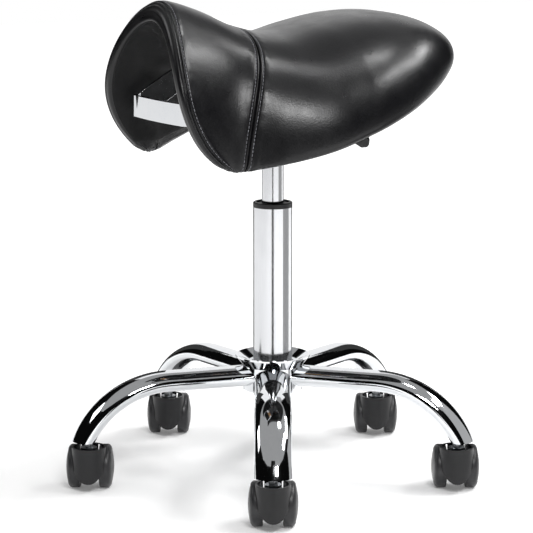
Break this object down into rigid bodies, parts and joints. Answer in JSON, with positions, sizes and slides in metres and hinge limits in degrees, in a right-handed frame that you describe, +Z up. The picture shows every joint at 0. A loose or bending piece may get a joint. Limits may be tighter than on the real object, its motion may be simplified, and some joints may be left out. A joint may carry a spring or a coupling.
{
  "type": "saddle stool",
  "caption": "Saddle stool: padded black saddle seat with a chrome grip under its pommel, levered tilt and gas-lift column, chrome star base on swivelling casters.",
  "frame": {"origin": "on the floor, straight under the axis of the gas column", "axes": "+Z up along the column, -Y the way the sitter faces, +X the sitter's left"},
  "size_m": [0.5245, 0.5311, 0.6154],
  "materials": {
    "bright_chrome": "polished",
    "satin_chrome": "satin",
    "wheel_plastic": "satin",
    "hood_plastic": "satin",
    "black_plastic": "satin",
    "black_leatherette": "satin",
    "black_lining": "matte",
    "seat_foam": "matte",
    "plywood": "matte",
    "black_painted_steel": "satin",
    "rubber": "matte",
    "aluminium": "satin",
    "zinc_steel": "satin"
  },
  "bodies": {
    "base": {"hub": "bright_chrome", "hub_collar": "bright_chrome", "leg_1": "bright_chrome", "leg_2": "bright_chrome", "leg_3": "bright_chrome", "leg_4": "bright_chrome", "leg_5": "bright_chrome", "caster_sockets": "zinc_steel", "caster_stems": "zinc_steel", "column_tube": "satin_chrome", "column_bushing": "black_plastic", "thrust_bearing": "zinc_steel"},
    "gas_rod": {"thrust_washer_upper": "zinc_steel", "piston_rod": "zinc_steel", "rod_clip": "zinc_steel", "rubber_buffer": "rubber", "piston": "aluminium"},
    "lift": {"gas_cylinder": "satin_chrome", "rod_seal": "rubber", "gas_valve": "aluminium", "mechanism_housing": "black_painted_steel", "tilt_pivot_pin": "zinc_steel", "tilt_clamp_rod": "zinc_steel", "lever_pins": "zinc_steel"},
    "release_pin": {"release_pin": "zinc_steel"},
    "height_lever": {"height_lever": "zinc_steel", "height_lever_grip": "black_plastic"},
    "tilt_lever": {"tilt_lever": "zinc_steel", "tilt_lever_grip": "black_plastic"},
    "seat": {"seat_plate": "black_painted_steel", "mounting_board": "plywood", "tee_nuts": "zinc_steel", "seat_bolts": "zinc_steel", "pommel_handle": "bright_chrome", "handle_screws": "zinc_steel", "seat_shell": "plywood", "seat_foam": "seat_foam", "seat_lining": "black_lining", "cover_front": "black_leatherette", "cover_rear": "black_leatherette"},
    "caster_1": {"caster_1_hood": "hood_plastic", "caster_1_axle": "zinc_steel"},
    "caster_1_wheel_left": {"caster_1_wheel_left": "wheel_plastic"},
    "caster_1_wheel_right": {"caster_1_wheel_right": "wheel_plastic"},
    "caster_2": {"caster_2_hood": "hood_plastic", "caster_2_axle": "zinc_steel"},
    "caster_2_wheel_left": {"caster_2_wheel_left": "wheel_plastic"},
    "caster_2_wheel_right": {"caster_2_wheel_right": "wheel_plastic"},
    "caster_3": {"caster_3_hood": "hood_plastic", "caster_3_axle": "zinc_steel"},
    "caster_3_wheel_left": {"caster_3_wheel_left": "wheel_plastic"},
    "caster_3_wheel_right": {"caster_3_wheel_right": "wheel_plastic"},
    "caster_4": {"caster_4_hood": "hood_plastic", "caster_4_axle": "zinc_steel"},
    "caster_4_wheel_left": {"caster_4_wheel_left": "wheel_plastic"},
    "caster_4_wheel_right": {"caster_4_wheel_right": "wheel_plastic"},
    "caster_5": {"caster_5_hood": "hood_plastic", "caster_5_axle": "zinc_steel"},
    "caster_5_wheel_left": {"caster_5_wheel_left": "wheel_plastic"},
    "caster_5_wheel_right": {"caster_5_wheel_right": "wheel_plastic"}
  },
  "joints": [
    {"name": "seat_swivel", "type": "hinge", "parent": "base", "child": "gas_rod", "pos_m": [0, 0, 0.11], "axis": [0, 0, 1], "continuous": true},
    {"name": "height_slide", "type": "slide", "parent": "gas_rod", "child": "lift", "axis": [0, 0, 1], "range_m": [-0.13, 0.01]},
    {"name": "seat_tilt", "type": "hinge", "parent": "lift", "child": "seat", "pos_m": [0, -0.045, 0.508], "axis": [1, 0, 0], "range_deg": [-2, 10]},
    {"name": "height_lever_lift", "type": "hinge", "parent": "lift", "child": "height_lever", "pos_m": [-0.034, 0, 0.5268], "axis": [0, 1, 0], "range_deg": [0, 5]},
    {"name": "release_pin_press", "type": "slide", "parent": "lift", "child": "release_pin", "axis": [0, 0, -1], "range_m": [0, 0.003], "stiffness_N_per_m": 600},
    {"name": "tilt_lever_turn", "type": "hinge", "parent": "lift", "child": "tilt_lever", "pos_m": [0.034, 0.048, 0.503], "axis": [0, -1, 0], "range_deg": [0, 12]},
    {"name": "caster_1_swivel", "type": "hinge", "parent": "base", "child": "caster_1", "pos_m": [0.20829, -0.12515, 0.06], "axis": [0, 0, 1], "continuous": true},
    {"name": "caster_1_wheel_left_spin", "type": "hinge", "parent": "caster_1", "child": "caster_1_wheel_left", "pos_m": [0.19286, -0.11588, 0.0275], "axis": [0.515, 0.8572, 0], "continuous": true},
    {"name": "caster_1_wheel_right_spin", "type": "hinge", "parent": "caster_1", "child": "caster_1_wheel_right", "pos_m": [0.19286, -0.11588, 0.0275], "axis": [0.515, 0.8572, 0], "continuous": true},
    {"name": "caster_2_swivel", "type": "hinge", "parent": "base", "child": "caster_2", "pos_m": [0.18339, 0.15942, 0.06], "axis": [0, 0, 1], "continuous": true},
    {"name": "caster_2_wheel_left_spin", "type": "hinge", "parent": "caster_2", "child": "caster_2_wheel_left", "pos_m": [0.16797, 0.16869, 0.0275], "axis": [0.515, 0.8572, 0], "continuous": true},
    {"name": "caster_2_wheel_right_spin", "type": "hinge", "parent": "caster_2", "child": "caster_2_wheel_right", "pos_m": [0.16797, 0.16869, 0.0275], "axis": [0.515, 0.8572, 0], "continuous": true},
    {"name": "caster_3_swivel", "type": "hinge", "parent": "base", "child": "caster_3", "pos_m": [-0.09495, 0.22368, 0.06], "axis": [0, 0, 1], "continuous": true},
    {"name": "caster_3_wheel_left_spin", "type": "hinge", "parent": "caster_3", "child": "caster_3_wheel_left", "pos_m": [-0.11038, 0.23295, 0.0275], "axis": [0.515, 0.8572, 0], "continuous": true},
    {"name": "caster_3_wheel_right_spin", "type": "hinge", "parent": "caster_3", "child": "caster_3_wheel_right", "pos_m": [-0.11038, 0.23295, 0.0275], "axis": [0.515, 0.8572, 0], "continuous": true},
    {"name": "caster_4_swivel", "type": "hinge", "parent": "base", "child": "caster_4", "pos_m": [-0.24208, -0.02118, 0.06], "axis": [0, 0, 1], "continuous": true},
    {"name": "caster_4_wheel_left_spin", "type": "hinge", "parent": "caster_4", "child": "caster_4_wheel_left", "pos_m": [-0.2575, -0.01191, 0.0275], "axis": [0.515, 0.8572, 0], "continuous": true},
    {"name": "caster_4_wheel_right_spin", "type": "hinge", "parent": "caster_4", "child": "caster_4_wheel_right", "pos_m": [-0.2575, -0.01191, 0.0275], "axis": [0.515, 0.8572, 0], "continuous": true},
    {"name": "caster_5_swivel", "type": "hinge", "parent": "base", "child": "caster_5", "pos_m": [-0.05466, -0.23677, 0.06], "axis": [0, 0, 1], "continuous": true},
    {"name": "caster_5_wheel_left_spin", "type": "hinge", "parent": "caster_5", "child": "caster_5_wheel_left", "pos_m": [-0.07009, -0.2275, 0.0275], "axis": [0.515, 0.8572, 0], "continuous": true},
    {"name": "caster_5_wheel_right_spin", "type": "hinge", "parent": "caster_5", "child": "caster_5_wheel_right", "pos_m": [-0.07009, -0.2275, 0.0275], "axis": [0.515, 0.8572, 0], "continuous": true}
  ],
  "couplings": [
    {"joint": "release_pin_press", "follows": "height_lever_lift", "m_per_rad": 0.034}
  ]
}
